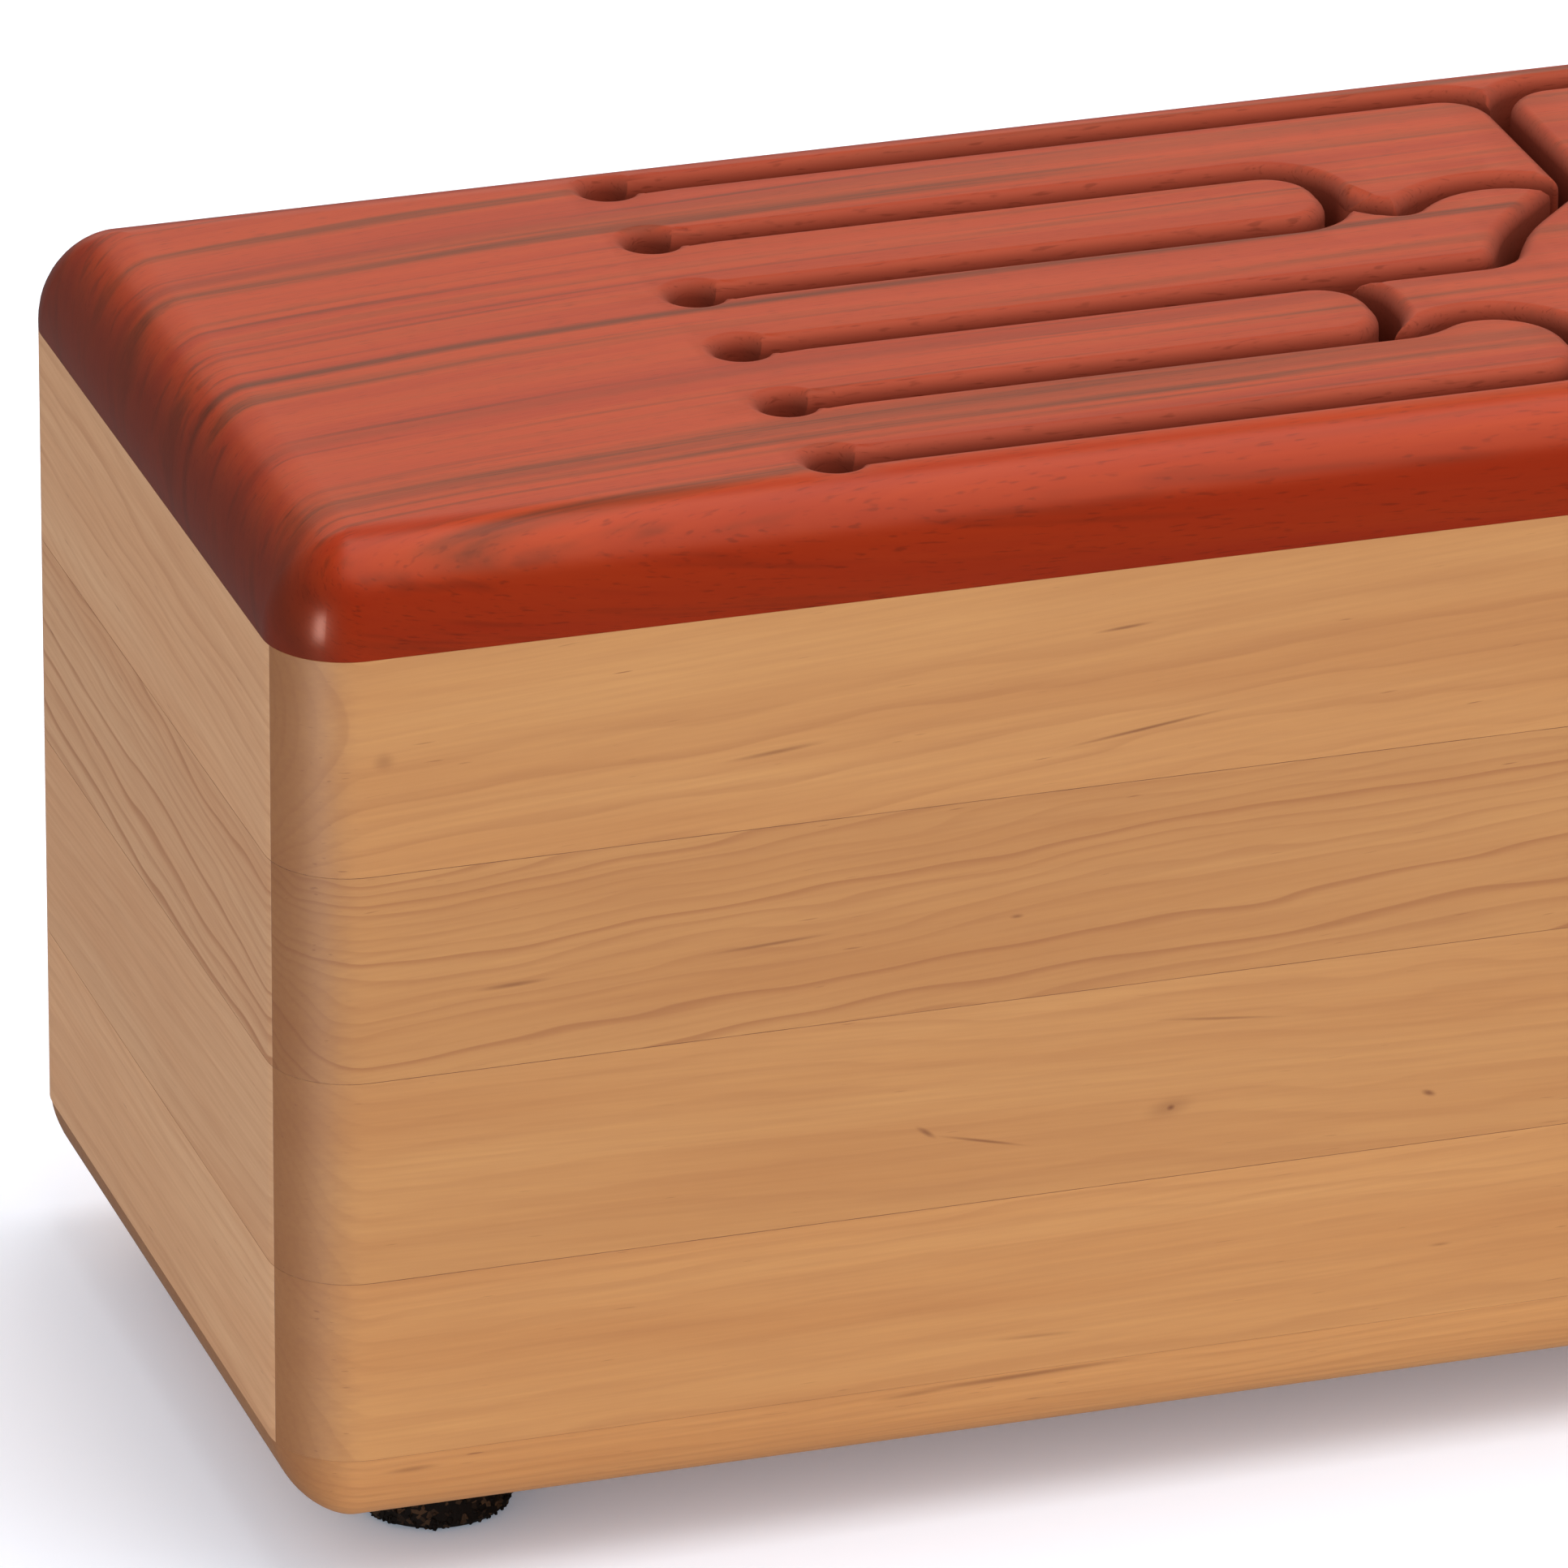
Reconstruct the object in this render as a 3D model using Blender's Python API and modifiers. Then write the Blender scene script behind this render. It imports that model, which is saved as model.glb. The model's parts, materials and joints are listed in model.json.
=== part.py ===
"""Wooden tongue drum: a hollow box of glued boards under a slotted hardwood plate with ten spring tongues.

Metres, +Z up. The origin is on the surface the drum stands on, under its middle. X runs along the drum,
and the front is at -Y. Tongue 1 is the back one.
"""

import math

import bmesh
import bpy
from mathutils import Vector

MM = 0.001
GAP = 0.3 * MM  # left between touching pieces

LENGTH = 570.0 * MM
WIDTH = 180.5 * MM
CORNER_RADIUS = 15.5 * MM  # upright corners, seen from above
WALL = 12.2 * MM
FOOT_HEIGHT = 10.0 * MM
FOOT_RADIUS = 15.2 * MM
FOOT_INSET = 38.0 * MM  # foot centre to each outer face
BOTTOM_THICKNESS = 19.1 * MM
BOTTOM_ROUND = 22.0 * MM
BOARD_HEIGHTS = (42.3 * MM, 40.7 * MM, 40.1 * MM, 35.8 * MM)  # from the top down
PLATE_THICKNESS = 19.2 * MM
PLATE_ROUND = 17.6 * MM

KERF = 4.1 * MM
SLIT_PITCH = 27.6 * MM
SLIT_COUNT = 6
ROOT_X = -175.7 * MM  # where the left tongues spring from the plate
RELIEF_RADIUS = 4.8 * MM
TONGUE_CORNER = 12.0 * MM  # all radii of the slits are those of the kerf's middle line
TONGUE_2_END = -46.1 * MM
TONGUE_4_END = -55.35 * MM
TONGUE_5_END = -26.35 * MM
TONGUE_5_RISE = 4.55 * MM  # hump on the upper edge of tongue 5
ARC_STEP = math.radians(12.0)

BOTTOM_Z = FOOT_HEIGHT
WALL_Z = BOTTOM_Z + BOTTOM_THICKNESS
PLATE_Z = WALL_Z + sum(BOARD_HEIGHTS)
TOP_Z = PLATE_Z + PLATE_THICKNESS
SLITS = [SLIT_PITCH * ((SLIT_COUNT - 1) / 2 - i) for i in range(SLIT_COUNT)]  # back to front

# The two slits that curve: corners as x, y and radius of the kerf's middle line.
BACK_VALLEY = (-36.0 * MM, 15.1 * MM, 3.0 * MM)
BACK_HUMP = (-20.2 * MM, 30.8 * MM, 21.5 * MM)
BACK_MEETING = (-46.15 * MM, 23.0 * MM, 0.0)
SPADE_SHOULDER = (-26.5 * MM, SLITS[3], 8.0 * MM)
SPADE_WAIST = (-18.5 * MM, 1.25 * MM, 40.0 * MM)
SPADE_TIP = (0.0, 19.75 * MM, 3.5 * MM)
TONGUE_1_TIP = (0.0, 16.1 * MM, 3.0 * MM)
TONGUE_3_TIP = (-2.1 * MM, 17.7 * MM, 2.3 * MM)


# ---------------------------------------------------------------- outlines


def arc(centre, radius, start, end):
    """Points on an arc from angle start to angle end, both in radians and both included."""
    count = max(2, math.ceil(abs(end - start) / ARC_STEP))
    angles = [start + (end - start) * i / count for i in range(count + 1)]
    return [Vector((centre[0] + radius * math.cos(a), centre[1] + radius * math.sin(a))) for a in angles]


def cross(a, b):
    return a.x * b.y - a.y * b.x


def kerf_side(corners):
    """The right-hand wall of a slit whose middle line runs through corners, each rounded by its own radius."""
    sides = []
    for a, b in zip(corners, corners[1:]):
        along = (Vector(b[:2]) - Vector(a[:2])).normalized()
        right = Vector((along.y, -along.x)) * KERF / 2
        sides.append((Vector(a[:2]) + right, along, Vector(b[:2]) + right))
    points = [sides[0][0]]
    for (a, along, _), (b, onward, _), corner in zip(sides, sides[1:], corners[1:-1]):
        turn = math.atan2(cross(along, onward), along.dot(onward))
        meeting = a + along * cross(b - a, onward) / cross(along, onward)
        radius = corner[2] + math.copysign(KERF / 2, turn)
        if radius <= 0.1 * MM:
            points.append(meeting)
            continue
        start = meeting - along * radius * math.tan(abs(turn) / 2)
        inward = Vector((-along.y, along.x)) * math.copysign(1.0, turn)
        centre = start + inward * radius
        angle = math.atan2(-inward.y, -inward.x)
        points += arc(centre, radius, angle, angle + turn)
    return points + [sides[-1][2]]


def tongue_paths():
    """Middle line of the slit round each left tongue, from its back slit to its front slit, clockwise."""
    mouth = ROOT_X + math.sqrt(RELIEF_RADIUS**2 - (KERF / 2) ** 2)
    second, fourth, fifth = TONGUE_2_END, TONGUE_4_END, TONGUE_5_END
    hump_y = SLITS[4] + TONGUE_5_RISE
    ends = [
        [
            (0.0, SLITS[0], TONGUE_CORNER),
            TONGUE_1_TIP,
            BACK_HUMP,
            BACK_VALLEY,
            (second, BACK_MEETING[1], 0.0),
            (second, SLITS[1], TONGUE_CORNER),
        ],
        [(second, SLITS[1], TONGUE_CORNER), (second, SLITS[2], TONGUE_CORNER)],
        [
            (-50.4 * MM, SLITS[2], 11.8 * MM),
            BACK_MEETING,
            BACK_VALLEY,
            BACK_HUMP,
            TONGUE_3_TIP,
            SPADE_WAIST,
            SPADE_SHOULDER,
        ],
        [(fourth, SLITS[3], TONGUE_CORNER), (fourth, SLITS[4], TONGUE_CORNER)],
        [
            (-53.5 * MM, SLITS[4], TONGUE_CORNER),
            (-45.6 * MM, hump_y, TONGUE_CORNER),
            (fifth, hump_y, 15.5 * MM),
            (fifth, SLITS[5], TONGUE_CORNER),
        ],
    ]
    return [
        [(mouth, SLITS[i], 0.0), *middle, (mouth, SLITS[i + 1], 0.0)] for i, middle in enumerate(ends)
    ]


def tongue_outline(number):
    """Outline of left tongue 1 to 5, with the bites that the relief holes take at its root."""
    start = math.asin(GAP / 2 / RELIEF_RADIUS)
    mouth = math.asin(KERF / 2 / RELIEF_RADIUS)
    back = arc((ROOT_X, SLITS[number - 1]), RELIEF_RADIUS, start - math.pi / 2, -mouth)
    front = arc((ROOT_X, SLITS[number]), RELIEF_RADIUS, mouth, math.pi / 2 - start)
    return back + kerf_side(tongue_paths()[number - 1]) + front


def opening_left():
    """Left half of the opening in the plate: back cusp, relief holes, front rail, stem and the spade's horns."""
    corner = Vector((-TONGUE_CORNER, SLITS[0] - TONGUE_CORNER))
    outer = TONGUE_CORNER + KERF / 2
    points = arc(corner, outer, math.acos(TONGUE_CORNER / outer), math.pi / 2)
    start = math.asin(GAP / 2 / RELIEF_RADIUS)
    mouth = math.asin(KERF / 2 / RELIEF_RADIUS)
    for i, y in enumerate(SLITS):
        first = mouth if i == 0 else math.pi / 2 + start
        last = 2 * math.pi - mouth if i == SLIT_COUNT - 1 else 1.5 * math.pi - start
        points += arc((ROOT_X, y), RELIEF_RADIUS, first, last)
    rise, end = tongue_paths()[4][1:5], TONGUE_4_END - TONGUE_CORNER
    reach = math.sqrt(2 * TONGUE_CORNER * KERF)  # horn tip, past the centre of tongue 4's corner
    points += kerf_side([(ROOT_X + RELIEF_RADIUS, SLITS[5], 0.0), *reversed(rise), (end + reach, SLITS[4], 0.0)])
    half = math.atan2(TONGUE_CORNER - KERF / 2, reach)
    points += arc((end, SLITS[4] + TONGUE_CORNER), outer, -half, 0.0)
    points += arc((end, SLITS[3] - TONGUE_CORNER), outer, 0.0, half)
    return points


def mirrored(points):
    return [Vector((-p.x, p.y)) for p in reversed(points)]


def plate_opening():
    left = opening_left()
    flank = [SPADE_SHOULDER, SPADE_WAIST]
    other = [(-x, y, radius) for x, y, radius in reversed(flank)]
    ends = (left[-1].x, SLITS[3], 0.0), (-left[-1].x, SLITS[3], 0.0)
    spade = kerf_side([ends[0], *flank, SPADE_TIP, *other, ends[1]])
    return left + spade + mirrored(left)


def rounded_rectangle(inset):
    """Plan of the drum moved inwards by inset; past the corner radius the corners are sharp."""
    radius = max(CORNER_RADIUS - inset, 0.0)
    reach = max(CORNER_RADIUS, inset)
    points = []
    for quarter, (sx, sy) in enumerate(((1, 1), (-1, 1), (-1, -1), (1, -1))):
        centre = (sx * (LENGTH / 2 - reach), sy * (WIDTH / 2 - reach))
        points += arc(centre, radius, quarter * math.pi / 2, (quarter + 1) * math.pi / 2)
    return points


def long_board_outline():
    """Plan of a front board: it runs the whole length, and its ends are part of the rounded corners."""
    x, y = LENGTH / 2 - CORNER_RADIUS, -WIDTH / 2 + CORNER_RADIUS
    skew = math.asin((CORNER_RADIUS - WALL) / CORNER_RADIUS)
    left = arc((-x, y), CORNER_RADIUS, math.pi + skew, 1.5 * math.pi)
    return left + mirrored(left)


def end_board_outline():
    """Plan of a left end board: it stands between the long boards and takes the last of the corner curve."""
    x, y = -LENGTH / 2 + CORNER_RADIUS, -WIDTH / 2 + CORNER_RADIUS
    skew = math.asin((CORNER_RADIUS - WALL - GAP) / CORNER_RADIUS)
    front = arc((x, y), CORNER_RADIUS, math.pi, math.pi + skew)
    back = [Vector((p.x, -p.y)) for p in reversed(front)]
    inner = -LENGTH / 2 + WALL
    return front + [Vector((inner, front[-1].y)), Vector((inner, -front[-1].y))] + back


# ---------------------------------------------------------------- solids


def make_collection(name):
    collection = bpy.data.collections.new(name)
    bpy.context.scene.collection.children.link(collection)
    return collection


def make_material(name, colour, roughness):
    material = bpy.data.materials.new(name)
    material.use_nodes = True
    shader = material.node_tree.nodes["Principled BSDF"]
    shader.inputs["Base Color"].default_value = (*colour, 1.0)
    shader.inputs["Roughness"].default_value = roughness
    shader.inputs["Metallic"].default_value = 0.0
    return material


def add_object(name, mesh, origin, collection, material):
    obj = bpy.data.objects.new(name, mesh)
    obj.location = origin
    collection.objects.link(obj)
    mesh.materials.append(material)
    return obj


def slab(name, outline, low, high, origin, collection, material):
    """A flat piece: the outline between the heights low and high, as an object whose origin is given."""
    curve = bpy.data.curves.new(name, "CURVE")
    curve.dimensions = "2D"
    curve.fill_mode = "BOTH"
    curve.extrude = (high - low) / 2
    spline = curve.splines.new("POLY")
    kept = [p for i, p in enumerate(outline) if (p - outline[i - 1]).length > 0.02 * MM]
    spline.points.add(len(kept) - 1)
    for point, p in zip(spline.points, kept):
        point.co = (p.x - origin[0], p.y - origin[1], 0.0, 1.0)
    spline.use_cyclic_u = True
    drawn = bpy.data.objects.new(name, curve)
    collection.objects.link(drawn)
    evaluated = drawn.evaluated_get(bpy.context.evaluated_depsgraph_get())
    mesh = bpy.data.meshes.new_from_object(evaluated)
    bpy.data.objects.remove(drawn)
    bpy.data.curves.remove(curve)
    weld(mesh, (low + high) / 2 - origin[2])
    return add_object(name, mesh, origin, collection, material)


def weld(mesh, rise):
    """Joins a mesh's caps to its sides and lifts it by rise."""
    bm = bmesh.new()
    bm.from_mesh(mesh)
    bmesh.ops.remove_doubles(bm, verts=bm.verts, dist=0.01 * MM)
    bmesh.ops.translate(bm, verts=bm.verts, vec=(0.0, 0.0, rise))
    bmesh.ops.recalc_face_normals(bm, faces=bm.faces)
    bm.to_mesh(mesh)
    bm.free()


def loft(name, levels, collection, material):
    """The drum's plan, stacked: levels are (height, inset) from the bottom up."""
    bm = bmesh.new()
    rings = [[bm.verts.new((p.x, p.y, z)) for p in rounded_rectangle(inset)] for z, inset in levels]
    for low, high in zip(rings, rings[1:]):
        for i in range(len(low)):
            bm.faces.new((low[i - 1], low[i], high[i], high[i - 1]))
    bm.faces.new(reversed(rings[0]))
    bm.faces.new(rings[-1])
    bmesh.ops.remove_doubles(bm, verts=bm.verts, dist=0.02 * MM)
    bmesh.ops.dissolve_degenerate(bm, edges=bm.edges, dist=0.01 * MM)
    mesh = bpy.data.meshes.new(name)
    bm.to_mesh(mesh)
    bm.free()
    obj = add_object(name, mesh, (0.0, 0.0, 0.0), collection, material)
    mesh.shade_smooth()
    mesh.set_sharp_from_angle(angle=math.radians(30.0))
    return obj


def round_over(radius, start, end):
    """Heights below the start of a quarter-round edge, and its insets, for angles from start to end."""
    count = math.ceil(abs(end - start) / ARC_STEP)
    angles = [start + (end - start) * i / count for i in range(count + 1)]
    return [(radius * (1 - math.sin(a)), radius * (1 - math.cos(a))) for a in angles]


def cut(obj, cutter):
    cutter.hide_render = True
    cutter.display_type = "WIRE"
    boolean = obj.modifiers.new("cut", "BOOLEAN")
    boolean.operation = "DIFFERENCE"
    boolean.solver = "EXACT"
    boolean.object = cutter


# ---------------------------------------------------------------- the drum


def make_plate(collection, cutters, material):
    curve = round_over(PLATE_ROUND, 0.0, math.pi / 2)
    levels = [(PLATE_Z, 0.0)] + [(TOP_Z - drop, inset) for drop, inset in curve]
    plate = loft("top_plate", levels, collection, material)
    margin = 5.0 * MM
    opening = slab(
        "plate_opening", plate_opening(), PLATE_Z - margin, TOP_Z + margin, (0.0, 0.0, 0.0), cutters, material
    )
    cut(plate, opening)


def make_tongues(collection, material):
    middle = (PLATE_Z + TOP_Z) / 2
    for number in range(1, SLIT_COUNT):
        outline = tongue_outline(number)
        y = (SLITS[number - 1] + SLITS[number]) / 2
        for side, x, points in (("left", ROOT_X, outline), ("right", -ROOT_X, mirrored(outline))):
            root = (x, y, middle)
            slab(f"tongue_{side}_{number}", points, PLATE_Z, TOP_Z, root, collection, material)


def make_walls(collection, material):
    long_plan, end_plan = long_board_outline(), end_board_outline()
    turned = [Vector((-p.x, -p.y)) for p in long_plan]
    plans = {
        "front_board": long_plan,
        "back_board": turned,
        "left_end_board": end_plan,
        "right_end_board": mirrored(end_plan),
    }
    high = PLATE_Z
    for number, height in enumerate(BOARD_HEIGHTS, 1):
        for name, plan in plans.items():
            low = high - height
            slab(f"{name}_{number}", plan, low, high - GAP, (0.0, 0.0, low), collection, material)
        high -= height


def make_bottom(collection, material):
    """The round-over's last degrees would reach above the panel, so it starts where the panel's top cuts it."""
    start = math.asin(1 - BOTTOM_THICKNESS / BOTTOM_ROUND)
    curve = round_over(BOTTOM_ROUND, math.pi / 2, start)
    levels = [(BOTTOM_Z + drop, inset) for drop, inset in curve]
    levels[-1] = (WALL_Z - GAP, levels[-1][1])
    loft("bottom_panel", levels, collection, material)


def make_feet(collection, material):
    height = FOOT_HEIGHT - GAP
    for y_name, sy in (("front", -1), ("back", 1)):
        for x_name, sx in (("left", -1), ("right", 1)):
            place = (sx * (LENGTH / 2 - FOOT_INSET), sy * (WIDTH / 2 - FOOT_INSET), height / 2)
            bpy.ops.mesh.primitive_cylinder_add(vertices=28, radius=FOOT_RADIUS, depth=height, location=place)
            foot = bpy.context.object
            foot.name = f"foot_{y_name}_{x_name}"
            foot.data.materials.append(material)
            for owner in list(foot.users_collection):
                owner.objects.unlink(foot)
            collection.objects.link(foot)
            edge = foot.modifiers.new("edge", "BEVEL")
            edge.width = 1.0 * MM
            edge.segments = 1
            edge.limit_method = "ANGLE"
            edge.angle_limit = math.radians(60.0)
            foot.data.shade_smooth()
            foot.data.set_sharp_from_angle(angle=math.radians(30.0))


def main():
    for obj in list(bpy.data.objects):
        bpy.data.objects.remove(obj)
    drum = make_collection("tongue_drum")
    cutters = make_collection("cutters")
    red_wood = make_material("padauk", (0.42, 0.11, 0.06), 0.45)
    light_wood = make_material("alder", (0.60, 0.33, 0.14), 0.5)
    rubber = make_material("crumb_rubber", (0.02, 0.015, 0.012), 0.9)
    make_plate(drum, cutters, red_wood)
    make_tongues(drum, red_wood)
    make_walls(drum, light_wood)
    make_bottom(drum, light_wood)
    make_feet(drum, rubber)


main()
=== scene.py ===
# Looks of the wooden tongue drum: a padauk plate with ten tongues on a box of glued alder boards.
# Metres throughout, written as millimetres times mm; only the marks in the wood are in plain millimetres.

import json
import math

import bmesh
import bpy
import numpy as np
from mathutils import Matrix, Vector
from mathutils.geometry import delaunay_2d_cdt


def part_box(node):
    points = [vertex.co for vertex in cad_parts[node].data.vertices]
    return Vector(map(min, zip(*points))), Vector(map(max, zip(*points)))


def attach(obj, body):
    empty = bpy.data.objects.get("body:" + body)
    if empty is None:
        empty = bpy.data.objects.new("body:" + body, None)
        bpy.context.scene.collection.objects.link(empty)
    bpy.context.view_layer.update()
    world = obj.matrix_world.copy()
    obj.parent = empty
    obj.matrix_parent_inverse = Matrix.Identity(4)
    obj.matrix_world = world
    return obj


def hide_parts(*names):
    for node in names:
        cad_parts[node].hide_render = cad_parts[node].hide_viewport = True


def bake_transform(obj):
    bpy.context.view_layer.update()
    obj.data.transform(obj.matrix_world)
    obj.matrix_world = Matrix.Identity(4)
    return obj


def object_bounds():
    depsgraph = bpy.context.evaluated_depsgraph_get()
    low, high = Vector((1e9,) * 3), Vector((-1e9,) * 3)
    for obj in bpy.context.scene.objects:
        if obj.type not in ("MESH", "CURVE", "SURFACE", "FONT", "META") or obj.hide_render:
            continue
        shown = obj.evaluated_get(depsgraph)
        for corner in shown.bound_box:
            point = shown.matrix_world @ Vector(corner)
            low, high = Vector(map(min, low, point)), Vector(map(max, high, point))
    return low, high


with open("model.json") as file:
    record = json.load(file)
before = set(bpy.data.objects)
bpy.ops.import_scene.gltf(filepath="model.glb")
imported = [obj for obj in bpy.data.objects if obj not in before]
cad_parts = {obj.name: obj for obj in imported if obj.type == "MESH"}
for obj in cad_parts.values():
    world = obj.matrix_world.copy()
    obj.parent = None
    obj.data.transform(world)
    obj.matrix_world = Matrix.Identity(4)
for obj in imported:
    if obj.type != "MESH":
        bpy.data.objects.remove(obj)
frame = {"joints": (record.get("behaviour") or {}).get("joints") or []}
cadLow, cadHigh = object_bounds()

mm = 0.001
arcStep = math.radians(7.5)  # how finely the outlines' curves are drawn
sameSpot = 0.01 * mm  # points closer than this are one


# camera, lights and floor

cameraValues = {
    "place": (-0.95623, -2.43492, 1.25068),
    "turnDegrees": 18.057,
    "downDegrees": 23.976,
    "rollDegrees": 0.400,
    "lensMillimetres": 343.48,
    "clipEnd": 50.0,
}

lightValues = {
    "world": 0.80,
    "worldReflected": 0.18,  # what shiny surfaces see of it: the studio behind the lights is dark
    "softboxes": {  # place, point it faces, width, height, brightness of its face, colour
        "overhead": ((0.26, -0.10, 1.40), (0.0, 0.0, 0.0), 1.50, 1.20, 2.75, "#FFFFFF"),
        "back_wall": ((0.75, 2.30, 1.20), (0.0, 0.0, 0.2), 2.60, 1.50, 0.66, "#FFEFD8"),
        "front_fill": ((0.90, -2.40, 0.80), (-0.1, 0.0, 0.1), 1.20, 1.20, 1.0, "#FFFFFF"),
        "front_strip": ((-1.27, -0.91, 0.25), (-0.278, -0.087, 0.195), 0.045, 0.80, 160.0, "#FFFFFF"),
    },
    "floorHex": "#F6F8FF",
    "floorRoughness": 0.9,
    "glowHex": "#D2E6FF",
    "floorGlow": 0.16,  # the backdrop is lit from behind too
    "floorSize": 14.0,
}


def linear(colour):  # sRGB hex to linear red, green, blue and alpha
    channels = [int(colour[i : i + 2], 16) / 255 for i in (1, 3, 5)]
    return tuple(c / 12.92 if c <= 0.04045 else ((c + 0.055) / 1.055) ** 2.4 for c in channels) + (1.0,)


def addNode(tree, kind, links=None, **settings):  # a link's value is a number, a socket or a node
    node = tree.nodes.new(kind)
    for name, value in settings.items():
        setattr(node, name, value)
    for socket, value in (links or {}).items():
        if isinstance(value, bpy.types.Node):
            value = value.outputs[0]
        if isinstance(value, bpy.types.NodeSocket):
            tree.links.new(value, node.inputs[socket])
        else:
            node.inputs[socket].default_value = value
    return node


def addObject(name, data):
    piece = bpy.data.objects.new(name, data)
    bpy.context.scene.collection.objects.link(piece)
    return piece


def newMaterial(name):  # with its tree, its shader and its coordinates
    material = bpy.data.materials.new(name)
    material.use_nodes = True
    tree = material.node_tree
    return material, tree, tree.nodes["Principled BSDF"], addNode(tree, "ShaderNodeTexCoord")


def addCamera(values):
    turn, down, roll = (math.radians(values[k]) for k in ("turnDegrees", "downDegrees", "rollDegrees"))
    view = Vector((math.sin(turn) * math.cos(down), math.cos(turn) * math.cos(down), -math.sin(down)))
    right = Vector((math.cos(turn), -math.sin(turn), 0.0))
    up = right.cross(view)
    rolledRight = right * math.cos(roll) + up * math.sin(roll)
    rolledUp = up * math.cos(roll) - right * math.sin(roll)
    axes = Matrix((rolledRight, rolledUp, -view)).transposed().to_4x4()
    camera = addObject("camera", bpy.data.cameras.new("camera"))
    camera.matrix_world = Matrix.Translation(values["place"]) @ axes
    camera.data.lens = values["lensMillimetres"]
    camera.data.clip_end = values["clipEnd"]
    bpy.context.scene.camera = camera


def addSoftbox(name, place, target, width, height, brightness, colour):
    light = bpy.data.lights.new(name, "AREA")
    light.shape = "RECTANGLE"
    light.size, light.size_y = width, height
    light.color = linear(colour)[:3]
    light.energy = brightness * math.pi * width * height  # watts for that radiance
    box = addObject(name, light)
    box.location = place
    box.rotation_euler = (Vector(target) - Vector(place)).to_track_quat("-Z", "Y").to_euler()


def addStudio(values):
    world = bpy.data.worlds.new("studio")
    bpy.context.scene.world = world
    world.use_nodes = True
    tree = world.node_tree
    background = tree.nodes["Background"]
    background.inputs["Color"].default_value = (1.0, 1.0, 1.0, 1.0)
    ray = addNode(tree, "ShaderNodeLightPath")
    strength = addNode(
        tree,
        "ShaderNodeMapRange",
        {0: ray.outputs["Is Glossy Ray"], 3: values["world"], 4: values["worldReflected"]},
    )
    tree.links.new(strength.outputs[0], background.inputs["Strength"])
    for name, softbox in values["softboxes"].items():
        addSoftbox(name, *softbox)
    bpy.data.objects["front_fill"].visible_glossy = False
    bpy.data.objects["front_strip"].visible_diffuse = False  # a strip that only shows as a highlight
    bpy.ops.mesh.primitive_plane_add(size=values["floorSize"], location=(0.0, 0.0, cadLow.z))
    floor = bpy.context.object
    floor.name = "floor"

    # backdrop paper: matt and near white, so the eye sees clean ground and no gloss
    paper = bpy.data.materials.new("white_backdrop_paper")
    paper.use_nodes = True
    shader = paper.node_tree.nodes["Principled BSDF"]
    shader.inputs["Base Color"].default_value = linear(values["floorHex"])
    shader.inputs["Roughness"].default_value = values["floorRoughness"]
    shader.inputs["Emission Color"].default_value = linear(values["glowHex"])
    shader.inputs["Emission Strength"].default_value = values["floorGlow"]
    floor.data.materials.append(paper)
    floor.visible_glossy = False
    bpy.context.scene.view_settings.view_transform = "Standard"


addCamera(cameraValues)
addStudio(lightValues)
print("camera, lights and floor made")


# sizes that come from the frame

plateLow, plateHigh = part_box("top_plate")
anchors = [Vector(j["pos_m"]) for j in frame["joints"] if j["child"].startswith("tongue_left")]
slitPitch = anchors[0].y - anchors[1].y
rootX = anchors[0].x  # where the left tongues spring from the plate
slitY = [anchors[0].y + slitPitch / 2 - slitPitch * i for i in range(len(anchors) + 1)]  # from the back
halfLength, halfWidth = plateHigh.x, plateHigh.y

bodyValues = {
    "cornerRadius": 15.5 * mm,  # upright corners, seen from above
    "wall": 12.2 * mm,
    "edgeBreak": 0.10 * mm,
    "sharpAngle": math.radians(30),
    "breakAngle": math.radians(60),
    "bottomRound": 22.0 * mm,
    "bottomInset": 3.0 * mm,  # of the underside, past the rounding
    "bottomSteps": 18,
}

slitValues = {  # all radii but the holes' are those of the kerf's middle line
    "kerf": 4.1 * mm,
    "sharpest": 0.1 * mm,  # a tighter bend is drawn as a corner
    "reliefRadius": 4.8 * mm,
    "corner": 12.0 * mm,
    "tongue2End": -46.1 * mm,
    "tongue4End": -55.35 * mm,
    "tongue5End": -26.35 * mm,
    "tongue5Rise": 4.55 * mm,
    "backValley": (-36.0 * mm, 15.1 * mm, 3.0 * mm),
    "backHump": (-20.2 * mm, 30.8 * mm, 21.5 * mm),
    "backMeeting": (-46.15 * mm, 23.0 * mm, 0.0),
    "spadeShoulder": (-26.5 * mm, slitY[3], 8.0 * mm),
    "spadeWaist": (-18.5 * mm, 1.25 * mm, 40.0 * mm),
    "spadeTip": (0.0, 19.75 * mm, 3.5 * mm),
    "tongue1Tip": (0.0, 16.1 * mm, 3.0 * mm),
    "tongue3Tip": (-2.1 * mm, 17.7 * mm, 2.3 * mm),
}


# outlines, each with the wood on the right-hand side of its path


def arc(centre, radius, start, end, step=arcStep):
    count = max(2, math.ceil(abs(end - start) / step))
    angles = [start + (end - start) * i / count for i in range(count + 1)]
    return [Vector((centre[0] + radius * math.cos(a), centre[1] + radius * math.sin(a))) for a in angles]


def cross(a, b):
    return a.x * b.y - a.y * b.x


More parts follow.
